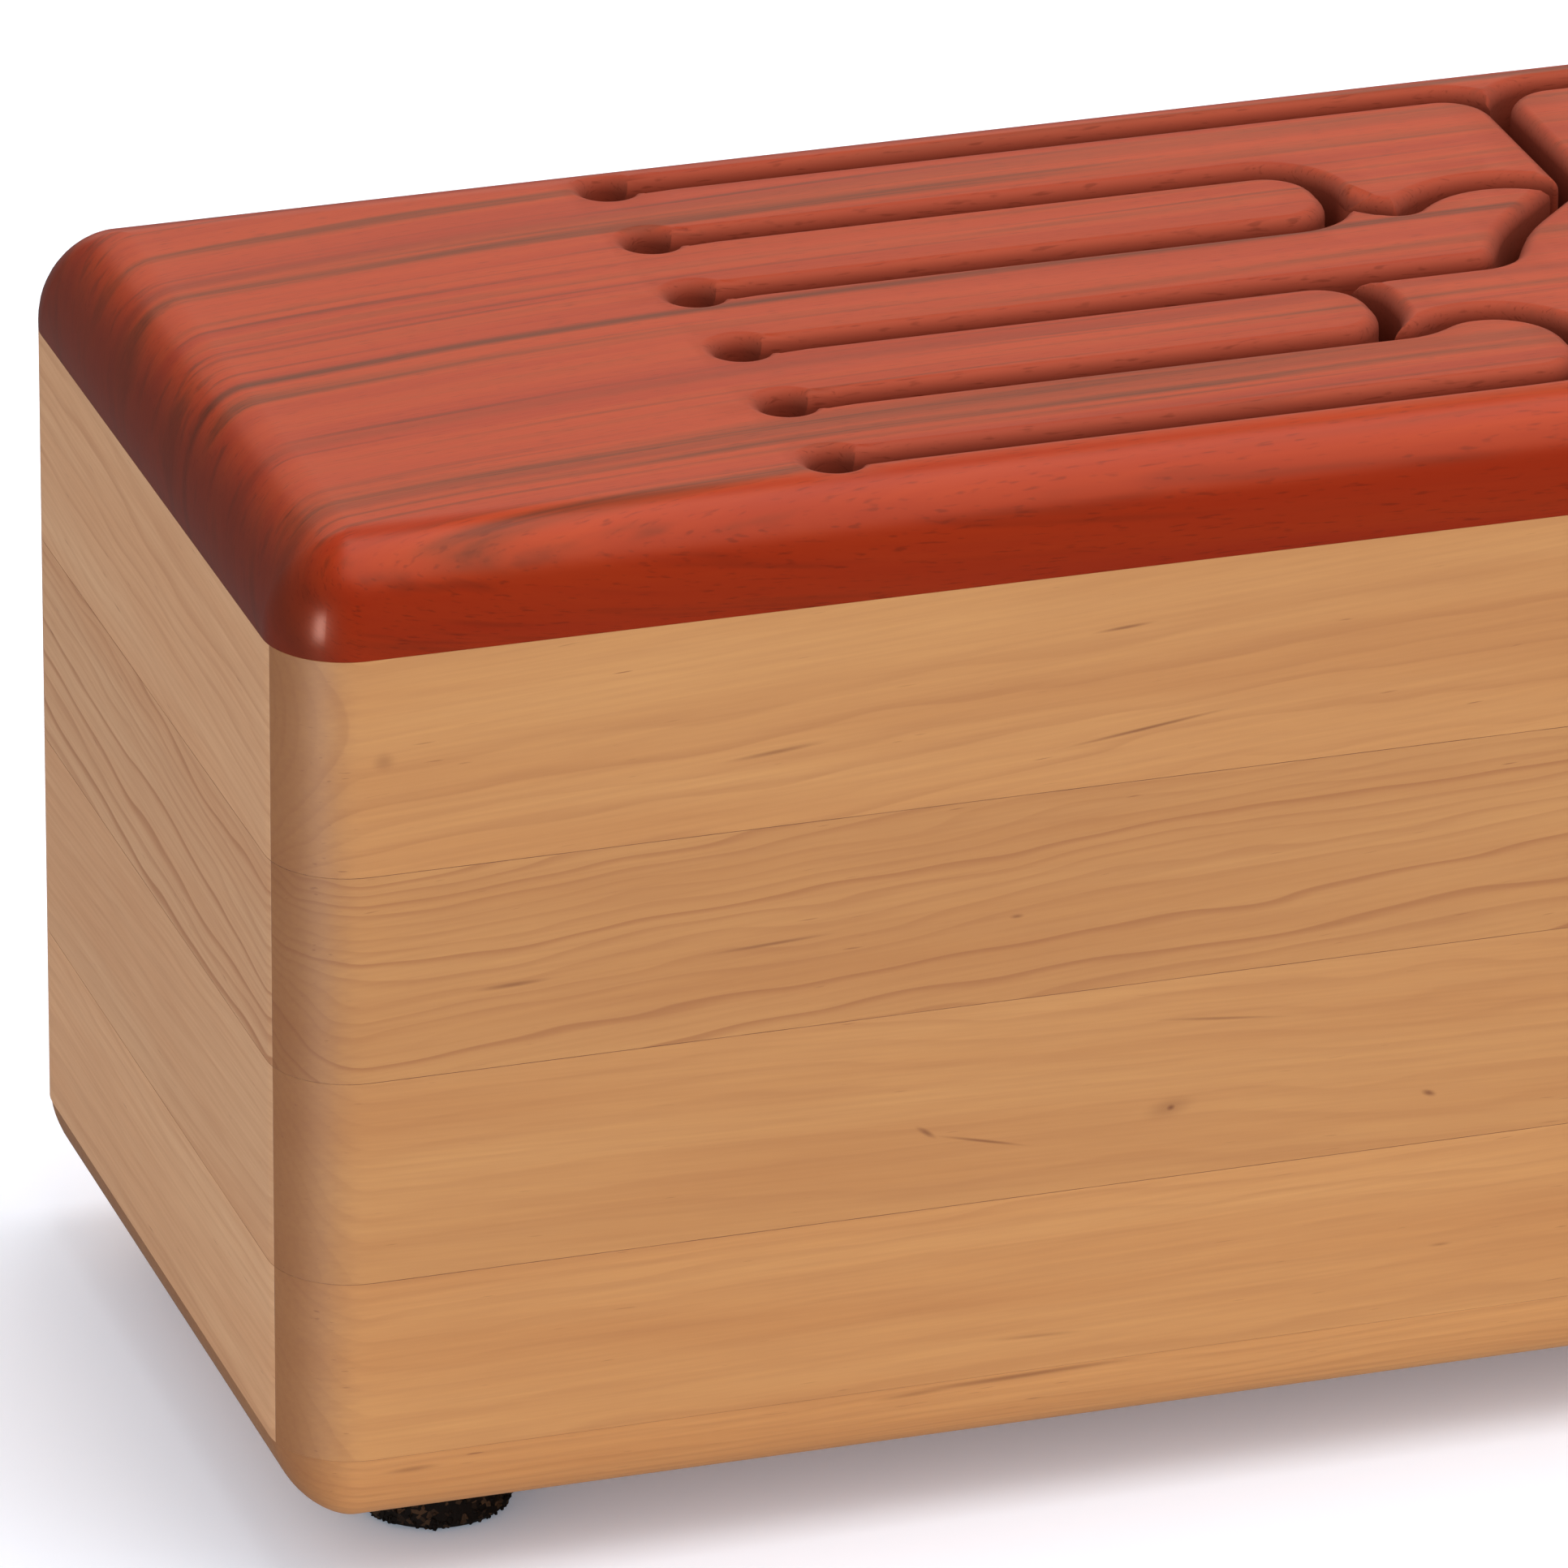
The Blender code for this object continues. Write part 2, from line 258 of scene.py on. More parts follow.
def kerfSide(corners):  # right-hand wall of a slit whose middle line runs through corners
    kerf = slitValues["kerf"]
    sides = []
    for a, b in zip(corners, corners[1:]):
        along = (Vector(b[:2]) - Vector(a[:2])).normalized()
        right = Vector((along.y, -along.x)) * kerf / 2
        sides.append((Vector(a[:2]) + right, along, Vector(b[:2]) + right))
    points = [sides[0][0]]
    for (a, along, _), (b, onward, _), corner in zip(sides, sides[1:], corners[1:-1]):
        turn = math.atan2(cross(along, onward), along.dot(onward))
        meeting = a + along * cross(b - a, onward) / cross(along, onward)
        radius = corner[2] + math.copysign(kerf / 2, turn)
        if radius <= slitValues["sharpest"]:
            points.append(meeting)
            continue
        start = meeting - along * radius * math.tan(abs(turn) / 2)
        inward = Vector((-along.y, along.x)) * math.copysign(1.0, turn)
        angle = math.atan2(-inward.y, -inward.x)
        points += arc(start + inward * radius, radius, angle, angle + turn)
    return points + [sides[-1][2]]


def tonguePaths():  # middle line of the slit round each left tongue, from its back slit to its front slit
    v = slitValues
    corner = v["corner"]
    mouth = rootX + math.sqrt(v["reliefRadius"] ** 2 - (v["kerf"] / 2) ** 2)
    second, fourth, fifth = v["tongue2End"], v["tongue4End"], v["tongue5End"]
    humpY = slitY[4] + v["tongue5Rise"]
    ends = [
        [
            (0.0, slitY[0], corner),
            v["tongue1Tip"],
            v["backHump"],
            v["backValley"],
            (second, v["backMeeting"][1], 0.0),
            (second, slitY[1], corner),
        ],
        [(second, slitY[1], corner), (second, slitY[2], corner)],
        [
            (-50.4 * mm, slitY[2], 11.8 * mm),
            v["backMeeting"],
            v["backValley"],
            v["backHump"],
            v["tongue3Tip"],
            v["spadeWaist"],
            v["spadeShoulder"],
        ],
        [(fourth, slitY[3], corner), (fourth, slitY[4], corner)],
        [
            (-53.5 * mm, slitY[4], corner),
            (-45.6 * mm, humpY, corner),
            (fifth, humpY, 15.5 * mm),
            (fifth, slitY[5], corner),
        ],
    ]
    return [[(mouth, slitY[i], 0.0), *middle, (mouth, slitY[i + 1], 0.0)] for i, middle in enumerate(ends)]


def rootLine(start, end):  # along a tongue's root, closely spaced where the holes' edges are rounded
    length = abs(end - start)
    steps = sorted({*edgeOffsets[1:], *(length - o for o in edgeOffsets[1:]), length / 2})
    return [Vector((rootX, start + (end - start) * s / length)) for s in steps]


def tongueOutline(number):
    radius = slitValues["reliefRadius"]
    mouth = math.asin(slitValues["kerf"] / 2 / radius)
    back = arc((rootX, slitY[number - 1]), radius, -math.pi / 2, -mouth)
    front = arc((rootX, slitY[number]), radius, mouth, math.pi / 2)
    root = rootLine(slitY[number] + radius, slitY[number - 1] - radius)
    return back + kerfSide(tonguePaths()[number - 1]) + front + root


def openingLeft():
    v = slitValues
    corner, kerf, radius = v["corner"], v["kerf"], v["reliefRadius"]
    outer = corner + kerf / 2
    points = arc((-corner, slitY[0] - corner), outer, math.acos(corner / outer), math.pi / 2)
    mouth = math.asin(kerf / 2 / radius)
    last = len(slitY) - 1
    for i, y in enumerate(slitY):
        if i > 0:
            points += rootLine(slitY[i - 1] - radius, y + radius)
        start = mouth if i == 0 else math.pi / 2
        end = 2 * math.pi - mouth if i == last else 1.5 * math.pi
        points += arc((rootX, y), radius, start, end)
    rise, end = tonguePaths()[4][1:5], v["tongue4End"] - corner
    reach = math.sqrt(2 * corner * kerf)  # horn tip, past the centre of tongue 4's corner
    points += kerfSide([(rootX + radius, slitY[5], 0.0), *reversed(rise), (end + reach, slitY[4], 0.0)])
    half = math.atan2(corner - kerf / 2, reach)
    points += arc((end, slitY[4] + corner), outer, -half, 0.0)
    points += arc((end, slitY[3] - corner), outer, 0.0, half)
    return points


def mirrored(points):
    return [Vector((-p.x, p.y)) for p in reversed(points)]


def plateOpening():
    v = slitValues
    left = openingLeft()
    flank = [v["spadeShoulder"], v["spadeWaist"]]
    other = [(-x, y, radius) for x, y, radius in reversed(flank)]
    ends = (left[-1].x, slitY[3], 0.0), (-left[-1].x, slitY[3], 0.0)
    return left + kerfSide([ends[0], *flank, v["spadeTip"], *other, ends[1]]) + mirrored(left)


def roundedRectangle(inset, step=arcStep):  # plan of the drum, counter-clockwise
    radius = max(bodyValues["cornerRadius"] - inset, 0.0)
    reach = max(bodyValues["cornerRadius"], inset)
    points = []
    for quarter, (sx, sy) in enumerate(((1, 1), (-1, 1), (-1, -1), (1, -1))):
        centre = (sx * (halfLength - reach), sy * (halfWidth - reach))
        points += arc(centre, radius, quarter * math.pi / 2, (quarter + 1) * math.pi / 2, step)
    return points


def withoutDoubles(points):
    return [p for i, p in enumerate(points) if (p - points[i - 1]).length > sameSpot]


def spaced(points, step):  # a closed path with its long straight stretches divided
    result = []
    for a, b in zip(points, points[1:] + points[:1]):
        count = max(1, math.ceil((b - a).length / step))
        result += [a.lerp(b, i / count) for i in range(count)]
    return withoutDoubles(result)


# padauk plate and tongues: flat on top, with every edge rounded over

plateValues = {
    "outerRound": 17.6 * mm,
    "outerStep": 6,  # degrees between the rings of points on the outer rounding
    "edgeRound": 3.0 * mm,
    "edgeDegrees": (0, 15, 30, 45, 60, 75, 82, 90),  # the same on the slits' edges
    "pointSpacing": 8.0 * mm,
    "gridClear": 1.5,  # edge radii between the slits and the coarse grid
    "outerClear": 1.1,  # outer radii between the outer wall and the coarse grid
    "ringClear": 0.2 * mm,
    "fanStep": math.radians(15),
    "cornerStep": math.radians(2.0),  # fine, because the polished corner shows a highlight
    "sharpAngle": math.radians(35),
    "sandedReach": 1.35,  # in edge radii from a slit: polished from here on
    "blendLength": 30.0 * mm,  # a length from a tongue's root
}
edgeOffsets = [plateValues["edgeRound"] * (1 - math.cos(math.radians(a))) for a in plateValues["edgeDegrees"]]


def segments(points):
    start = np.array([p[:] for p in points])
    return start, np.roll(start, -1, axis=0)


def wallsOnly(points):  # a closed path's segments without those on a tongue's root
    start, end = segments(points)
    offRoot = [abs(abs(side[:, 0]) - abs(rootX)) >= 1e-7 for side in (start, end)]
    wall = offRoot[0] | offRoot[1]
    return start[wall], end[wall]


def nearestWall(points, walls):  # distance from each point to the nearest wall, and the way there
    batch = 1000  # points at a time, to spare memory
    start, end = walls
    along = end - start
    lengthSquared = (along**2).sum(1)
    distance, way = np.zeros(len(points)), np.zeros((len(points), 2))
    for first in range(0, len(points), batch):
        these = slice(first, first + batch)
        relative = points[these, None, :] - start[None]
        t = np.clip((relative * along).sum(2) / lengthSquared, 0, 1)
        gap = relative - t[..., None] * along
        squared = (gap**2).sum(2)
        nearest = squared.argmin(1)
        rows = np.arange(len(nearest))
        distance[these] = np.sqrt(squared[rows, nearest])
        way[these] = -gap[rows, nearest]
    return distance, way


def roundedSurface(points, edges):  # how far the rounded top lies under the flat, and which way it faces
    drop, normal = np.zeros(len(points)), np.tile([0.0, 0.0, 1.0], (len(points), 1))
    for walls, radius in edges:
        distance, way = nearestWall(points, walls)
        tilt = np.clip(1 - distance / radius, 0, 1)
        level = np.sqrt(1 - tilt**2)
        here = radius * (1 - level)
        outward = way / np.maximum(distance, 1e-9)[:, None]
        facing = np.column_stack((outward * tilt[:, None], level))
        lower = here > drop
        drop[lower] = here[lower]
        normal[lower] = facing[lower]
    return drop, normal


def wallCorners(walls):  # points along the walls and their ways into the wood; a corner gets a fan of them
    start, end = walls
    along = (end - start) / np.linalg.norm(end - start, axis=1)[:, None]
    inward = np.column_stack((along[:, 1], -along[:, 0]))
    arriving = {tuple(np.round(p, 8)): i for i, p in enumerate(end)}
    bases, ways, joined = [], [], []
    for i, p in enumerate(start):
        before = arriving.get(tuple(np.round(p, 8)))
        bend = inward[i] if before is None else inward[before]
        angle = math.atan2(bend[0] * inward[i][1] - bend[1] * inward[i][0], bend @ inward[i])
        count = math.ceil(angle / plateValues["fanStep"])
        shares = [k / count for k in range(count + 1)] if count > 1 else [0.5]
        for share in shares:
            way = bend * (1 - share) + inward[i] * share
            joined.append(before is not None or share != shares[0])
            bases.append(p)
            ways.append(way / np.linalg.norm(way))
    return np.array(bases), np.array(ways), joined


def edgeRings(walls):  # rings of points at each offset from the walls, and a ridge where two walls meet
    near = 0.97  # a point this near its offset still belongs to its wall
    halvings = 10
    offsets = edgeOffsets
    bases, ways, joined = wallCorners(walls)
    rings = []
    for offset in offsets[1:]:
        points = bases + ways * offset
        fits = nearestWall(points, walls)[0] > offset * near
        links = [(i - 1, i) for i in range(len(points)) if joined[i] and fits[i - 1] and fits[i]]
        rings.append((points, fits, links))
    low, high = np.zeros(len(bases)), np.full(len(bases), offsets[-1])
    for _ in range(halvings):
        middle = (low + high) / 2
        fits = nearestWall(bases + ways * middle[:, None], walls)[0] > middle * near
        low, high = np.where(fits, middle, low), np.where(fits, high, middle)
    ridge = (low > offsets[1]) & (low < offsets[-1] * 0.99)
    rings.append((bases + ways * low[:, None], ridge, []))
    return rings


def inside(points, paths):  # whether each point is inside an odd number of the closed paths
    odd = np.zeros(len(points), bool)
    for start, end in (segments(p) for p in paths):
        for a, b in zip(start, end):
            crosses = (a[1] > points[:, 1]) != (b[1] > points[:, 1])
            if crosses.any():
                at = a[0] + (points[:, 1] - a[1]) / (b[1] - a[1]) * (b[0] - a[0])
                odd ^= crosses & (points[:, 0] < at)
    return odd


def flatGrid(paths, walls):  # a coarse grid over the flat part
    step = plateValues["pointSpacing"]
    corners = np.array([p[:] for p in paths[0]])
    xs = np.arange(corners[:, 0].min() + step / 2, corners[:, 0].max(), step)
    ys = np.arange(corners[:, 1].min() + step / 2, corners[:, 1].max(), step)
    grid = np.array([(x, y) for x in xs for y in ys])
    grid = grid[inside(grid, paths)]
    return grid[nearestWall(grid, walls)[0] > plateValues["edgeRound"] * plateValues["gridClear"]]


def woodSlab(name, paths, edges, rings, material):  # flat below, rounded over above
    points, links = [], []
    for path in paths:
        first = len(points)
        points += [Vector(p) for p in path]
        links += [(first + i, first + (i + 1) % len(path)) for i in range(len(path))]
    for ring, kept, joins in rings:
        place = np.cumsum(kept) - 1 + len(points)
        points += [Vector(p) for p in ring[kept]]
        links += [(int(place[a]), int(place[b])) for a, b in joins]
    flat, _, triangles, _, _, _ = delaunay_2d_cdt(points, links, [], 0, 1e-6)
    flat = np.array([p[:] for p in flat])
    triangles = np.array(triangles)
    triangles = triangles[inside(flat[triangles].mean(1), paths)]
    drop, _ = roundedSurface(flat, edges)
    slitWalls, slitRound = edges[-1]
    sanded = np.clip(plateValues["sandedReach"] - nearestWall(flat, slitWalls)[0] / slitRound, 0, 1)
    count = len(flat)
    top = np.column_stack((flat, plateHigh.z - drop))
    bottom = np.column_stack((flat, np.full(count, plateLow.z)))
    directed = {(t[i], t[(i + 1) % 3]) for t in triangles for i in range(3)}
    walls = [(b, a, a + count, b + count) for a, b in directed if (b, a) not in directed]
    faces = [tuple(t) for t in triangles] + [tuple(t[::-1] + count) for t in triangles] + walls
    mesh = bpy.data.meshes.new(name)
    mesh.from_pydata(np.vstack([top, bottom]).tolist(), [], [[int(i) for i in f] for f in faces])
    mesh.materials.append(material)
    sanded = np.append(sanded, np.zeros(count)).astype(np.float32)
    mesh.attributes.new("sanded", "FLOAT", "POINT").data.foreach_set("value", sanded)
    mesh.shade_smooth()
    mesh.set_sharp_from_angle(angle=plateValues["sharpAngle"])

    # the normals come from the exact rounding, taken a little inside each corner of each face
    share = 0.03
    nudged = flat[triangles] * (1 - share) + flat[triangles].mean(1)[:, None] * share
    _, facing = roundedSurface(nudged.reshape(-1, 2), edges)
    normals = np.zeros((len(mesh.loops), 3))
    normals[: len(facing)] = facing
    mesh.normals_split_custom_set(normals.tolist())
    return addObject(name, mesh)


def makePlate(material):
    v = plateValues
    outer = spaced(roundedRectangle(0.0, v["cornerStep"])[::-1], v["pointSpacing"])
    opening = spaced(plateOpening(), v["pointSpacing"])
    outerWalls, slitWalls = segments(outer), wallsOnly(opening)
    edges = [(outerWalls, v["outerRound"]), (slitWalls, v["edgeRound"])]
    rings = edgeRings(slitWalls)
    for degrees in range(v["outerStep"], 91, v["outerStep"]):
        inset = v["outerRound"] * (1 - math.cos(math.radians(degrees)))
        ring = np.array([p[:] for p in spaced(roundedRectangle(inset), v["pointSpacing"])])
        kept = (nearestWall(ring, slitWalls)[0] > v["ringClear"]) & ~inside(ring, [opening])
        rings.append((ring, kept, [(i - 1, i) for i in range(len(ring)) if kept[i - 1] and kept[i]]))
    grid = flatGrid([outer, opening], slitWalls)
    kept = nearestWall(grid, outerWalls)[0] > v["outerRound"] * v["outerClear"]
    rings.append((grid, kept, []))
    plate = woodSlab("padauk_plate", [outer, opening], edges, rings, material)
    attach(plate, "box")
    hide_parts("top_plate")


def makeTongue(number, side, material):
    outline = spaced(tongueOutline(number), plateValues["pointSpacing"])
    if side == "right":
        outline = mirrored(outline)
    walls = wallsOnly(outline)
    edges = [(walls, plateValues["edgeRound"])]
    grid = flatGrid([outline], walls)
    rings = [*edgeRings(walls), (grid, np.ones(len(grid), bool), [])]
    tongue = woodSlab(f"padauk_tongue_{side}_{number}", [outline], edges, rings, material)
    body = f"tongue_{side}_{number}"
    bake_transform(tongue)
    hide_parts(body)


# padauk: oiled and sanded to a satin, so the red looks deep and has a soft gloss; it has dark grey-brown
# streaks and short open pores, drawn 0.3 mm wide so that they show

padaukValues = {
    "redHex": "#95290A",
    "orangeHex": "#AA3A0E",
    "streakHex": "#48200F",
    # painted shade: the deeper red of faces turned sideways, which get less light than the top
    "sideShadeHex": "#7C1A02",
    "endHex": "#4C2012",
    # paler and greyer: sanded wood, and a painted haze of reflected light along the slits
    "sandedHazeHex": "#8B4232",
    "poreHex": "#4C1206",
    "glossHex": "#FFA078",
    "gloss": 0.25,
    "roughness": 0.30,
    "endRoughness": 0.08,  # added on end grain
    "sandedRoughness": 0.32,  # added along the slits
    # how much of the sanded colour with its painted haze the slits' edges take
    "sandedHazeShare": 0.70,
    "polish": 0.14,  # a thin coat of hard oil, none along the slits
    "polishRoughness": 0.28,
    "bump": 0.10,
    "bumpHeight": 0.1 * mm,
    "planeTilt": 1.0,  # how far a streak moves to the front for each millimetre down
    "driftLength": 80.0 * mm,
    "driftAt": -240.0 * mm,
    "drift": 11.25 * mm,  # how far to the front the streaks have drifted there
    "wander": 7.0 * mm,
    "wanderScale": (7.0, 16.0, 8.0),
    "fineWarmth": 0.5,
    "streaks": (  # place across the plate, half width, strength
        (10.9 * mm, 1.3 * mm, 0.95),
        (-48.5 * mm, 2.6 * mm, 0.55),
        (60.0 * mm, 1.8 * mm, 0.40),
        (-81.4 * mm, 0.9 * mm, 0.90),
        (-20.0 * mm, 1.6 * mm, 0.30),
    ),
    "bands": (  # length, width and depth, detail: broad, middle and fine tone, and pores
        ((340 * mm, 8 * mm, 20 * mm), 3.0),
        ((190 * mm, 2.0 * mm, 5 * mm), 2.5),
        ((45 * mm, 0.55 * mm, 1.375 * mm), 2.0),
        ((4.5 * mm, 0.36 * mm, 0.8 * mm), 1.0),
    ),
    "ranges": {  # the pattern's values between which each effect grows, and its share at either
        "dark": (0.51, 0.68, 0.0, 0.85, "SMOOTHSTEP"),
        "thin": (0.53, 0.72, 0.0, 0.62, "SMOOTHSTEP"),
        "faint": (0.30, 0.70, 0.60, 1.0, "LINEAR"),
        "warm": (0.35, 0.65, 0.0, 1.0, "LINEAR"),
        # painted shade grows as a face turns from the top to the side
        "sideShade": (0.55, 0.85, 0.65, 0.0, "LINEAR"),
        "endwise": (0.12, 0.85, 0.0, 0.60, "SMOOTHSTEP"),
        "pores": (0.60, 0.74, 0.0, 0.38, "LINEAR"),
    },
}


def padaukMaterial(v):
    material, tree, shader, coordinates = newMaterial("oiled_padauk")
    place = addNode(tree, "ShaderNodeSeparateXYZ", {0: coordinates.outputs["Object"]})
    x, y, z = place.outputs

    # "across" is constant along each streak
    eased = addNode(tree, "ShaderNodeMath", {0: x, 1: v["driftAt"]}, operation="SUBTRACT")
    eased = addNode(tree, "ShaderNodeMath", {0: eased, 1: -v["driftLength"]}, operation="DIVIDE")
    eased = addNode(tree, "ShaderNodeMath", {0: eased}, operation="EXPONENT")
    drifted = addNode(tree, "ShaderNodeMath", {0: eased, 1: v["drift"], 2: y}, operation="MULTIPLY_ADD")
    depth = addNode(tree, "ShaderNodeMath", {0: plateHigh.z, 1: z}, operation="SUBTRACT")
    links = {0: depth, 1: v["planeTilt"], 2: drifted}
    across = addNode(tree, "ShaderNodeMath", links, operation="MULTIPLY_ADD")
    slow = addNode(tree, "ShaderNodeMapping", {0: coordinates.outputs["Object"], 3: v["wanderScale"]})
    wander = addNode(tree, "ShaderNodeTexNoise", {"Vector": slow, "Scale": 1.0, "Detail": 2.0})
    wander = addNode(tree, "ShaderNodeMath", {0: wander, 1: 0.5}, operation="SUBTRACT")
    across = addNode(tree, "ShaderNodeMath", {0: wander, 1: v["wander"], 2: across}, operation="MULTIPLY_ADD")

    # bands of tone, from broad to as fine as the fibres, and open pores
    bands = []
    for sizes, detail in v["bands"]:
        links = {}
        for axis, (distance, size) in enumerate(zip((x, across, depth), sizes)):
            links[axis] = addNode(tree, "ShaderNodeMath", {0: distance, 1: size}, operation="DIVIDE")
        stretched = addNode(tree, "ShaderNodeCombineXYZ", links)
        links = {"Vector": stretched, "Scale": 1.0, "Detail": detail}
        bands.append(addNode(tree, "ShaderNodeTexNoise", links))
    broad, middle, fine, pores = bands

    # faces turned sideways get a deeper red than the top: painted shade; and end grain drinks the oil and
    # turns dark
    facing = addNode(tree, "ShaderNodeSeparateXYZ", {0: coordinates.outputs["Normal"]})
    endFacing = addNode(tree, "ShaderNodeMath", {0: facing}, operation="ABSOLUTE")
    patterns = {"dark": broad, "thin": middle, "faint": fine, "warm": broad, "pores": pores}
    patterns |= {"sideShade": facing.outputs[2], "endwise": endFacing}
    shares = {}
    for effect, pattern in patterns.items():
        low, high, atLow, atHigh, kind = v["ranges"][effect]
        links = {0: pattern, 1: low, 2: high, 3: atLow, 4: atHigh}
        shares[effect] = addNode(tree, "ShaderNodeMapRange", links, interpolation_type=kind)

    dark = addNode(tree, "ShaderNodeMath", {0: shares["dark"], 1: shares["thin"]}, operation="MAXIMUM")
    for at, reach, strength in v["streaks"]:
        away = addNode(tree, "ShaderNodeMath", {0: across, 1: at}, operation="SUBTRACT")
        away = addNode(tree, "ShaderNodeMath", {0: away}, operation="ABSOLUTE")
        links = {0: away, 1: 0.0, 2: reach * 2, 3: strength, 4: 0.0}
        streak = addNode(tree, "ShaderNodeMapRange", links, interpolation_type="SMOOTHERSTEP")
        dark = addNode(tree, "ShaderNodeMath", {0: dark, 1: streak}, operation="MAXIMUM")
    dark = addNode(tree, "ShaderNodeMath", {0: dark, 1: shares["faint"]}, operation="MULTIPLY")
    links = {0: fine, 1: v["fineWarmth"], 2: shares["warm"]}
    warm = addNode(tree, "ShaderNodeMath", links, operation="MULTIPLY_ADD")
    warm = addNode(tree, "ShaderNodeMath", {0: warm, 1: v["fineWarmth"] / 2}, operation="SUBTRACT")

    # the slits' edges are sanded, not polished, so rougher and duller; their paler, greyer colour is sanded
    # wood and painted haze
    sanded = addNode(tree, "ShaderNodeAttribute", attribute_name="sanded").outputs["Fac"]
    sandedHaze = addNode(tree, "ShaderNodeMath", {0: sanded, 1: v["sandedHazeShare"]}, operation="MULTIPLY")
    layers = (
        (warm, "orangeHex"),
        (dark, "streakHex"),
        (shares["sideShade"], "sideShadeHex"),
        (shares["endwise"], "endHex"),
        (sandedHaze, "sandedHazeHex"),
        (shares["pores"], "poreHex"),
    )
    tone = linear(v["redHex"])
    for share, colour in layers:
        links = {0: share, 6: tone, 7: linear(v[colour])}
        tone = addNode(tree, "ShaderNodeMix", links, data_type="RGBA").outputs[2]
    tree.links.new(tone, shader.inputs["Base Color"])
    shader.inputs["Specular IOR Level"].default_value = v["gloss"]
    shader.inputs["Specular Tint"].default_value = linear(v["glossHex"])

    links = {0: shares["endwise"], 1: v["endRoughness"], 2: v["roughness"]}
    rough = addNode(tree, "ShaderNodeMath", links, operation="MULTIPLY_ADD")
    links = {0: sanded, 1: v["sandedRoughness"], 2: rough}
    rough = addNode(tree, "ShaderNodeMath", links, operation="MULTIPLY_ADD")
    tree.links.new(rough.outputs[0], shader.inputs["Roughness"])
    polish = addNode(tree, "ShaderNodeMapRange", {0: sanded, 3: v["polish"], 4: 0.0})
    tree.links.new(polish.outputs[0], shader.inputs["Coat Weight"])
    shader.inputs["Coat Roughness"].default_value = v["polishRoughness"]
    relief = addNode(tree, "ShaderNodeMath", {0: shares["pores"], 1: -1.0, 2: fine}, operation="MULTIPLY_ADD")
    links = {"Strength": v["bump"], "Distance": v["bumpHeight"], "Height": relief}
    bump = addNode(tree, "ShaderNodeBump", links)
    tree.links.new(bump.outputs[0], shader.inputs["Normal"])
    return material


# alder boards: oiled, smooth and pale; faint growth rings give each board its own figure and show as
# arcs on the rounded ends, and the fibres are drawn about 1 mm wide, coarser than they are

alderValues = {
    # the end boards' colours ("left", used on both ends) are paler and greyer than the long boards': a
    # painted haze of reflected light
    "paleHex": {"front": "#CB9255", "left": "#D2A478"},
    "warmHex": {"front": "#BB7D43", "left": "#C88F60"},
    "ringHex": "#A06234",
    "fleckHex": "#7C4420",
    "endHex": "#78441F",
    "roughness": (0.38, 0.48),
    "bump": 0.06,
    "bumpHeight": 0.1 * mm,
    "ringWidth": 2.4 * mm,
    "ringWander": 12.0 * mm,
    "faintestRing": 0.08,
    "patterns": {  # shift from board to board; scale along the board, inwards and up; detail
        "wander": (3.1, (14.0, 60.0, 60.0), 2.0),
        "patch": (1.7, (5.0, 30.0, 75.0), 3.0),
        "fibre": (0.0, (34.0, 900.0, 1150.0), 2.0),
        "fleck": (1.0, (110.0, 700.0, 1500.0), 1.0),
    },
    "ranges": {  # the pattern's values between which each effect grows, and its share at either
        "line": (0.45, 0.92, 0.0, 1.0, "SMOOTHSTEP"),
        "gone": (0.93, 1.0, 1.0, 0.0, "LINEAR"),
        "patch": (0.30, 0.70, 0.12, 0.78, "LINEAR"),
        "fibre": (0.30, 0.70, 0.0, 0.22, "LINEAR"),
        "fleck": (0.73, 0.83, 0.0, 0.60, "LINEAR"),
        "endwise": (0.10, 0.95, 0.0, 0.66, "SMOOTHSTEP"),
    },
}


def addMark(tree, local, marks, mark):  # a knot or streak: along, up, half length, half width, lean, strength
    along, up, halfLong, halfWide, lean, strength = mark
    links = {
        0: local,
        1: (along * mm, 0.0, up * mm),
        2: (0.0, -math.radians(lean), 0.0),
        3: (halfLong * mm, 1.0, halfWide * mm),
    }
    placed = addNode(tree, "ShaderNodeMapping", links, vector_type="TEXTURE")
    away = addNode(tree, "ShaderNodeVectorMath", {0: placed}, operation="LENGTH")
    links = {0: away.outputs["Value"], 1: 0.0, 2: 1.0, 3: strength, 4: 0.0}
    shade = addNode(tree, "ShaderNodeMapRange", links, interpolation_type="SMOOTHSTEP")
    return addNode(tree, "ShaderNodeMath", {0: marks, 1: shade}, operation="MAXIMUM")


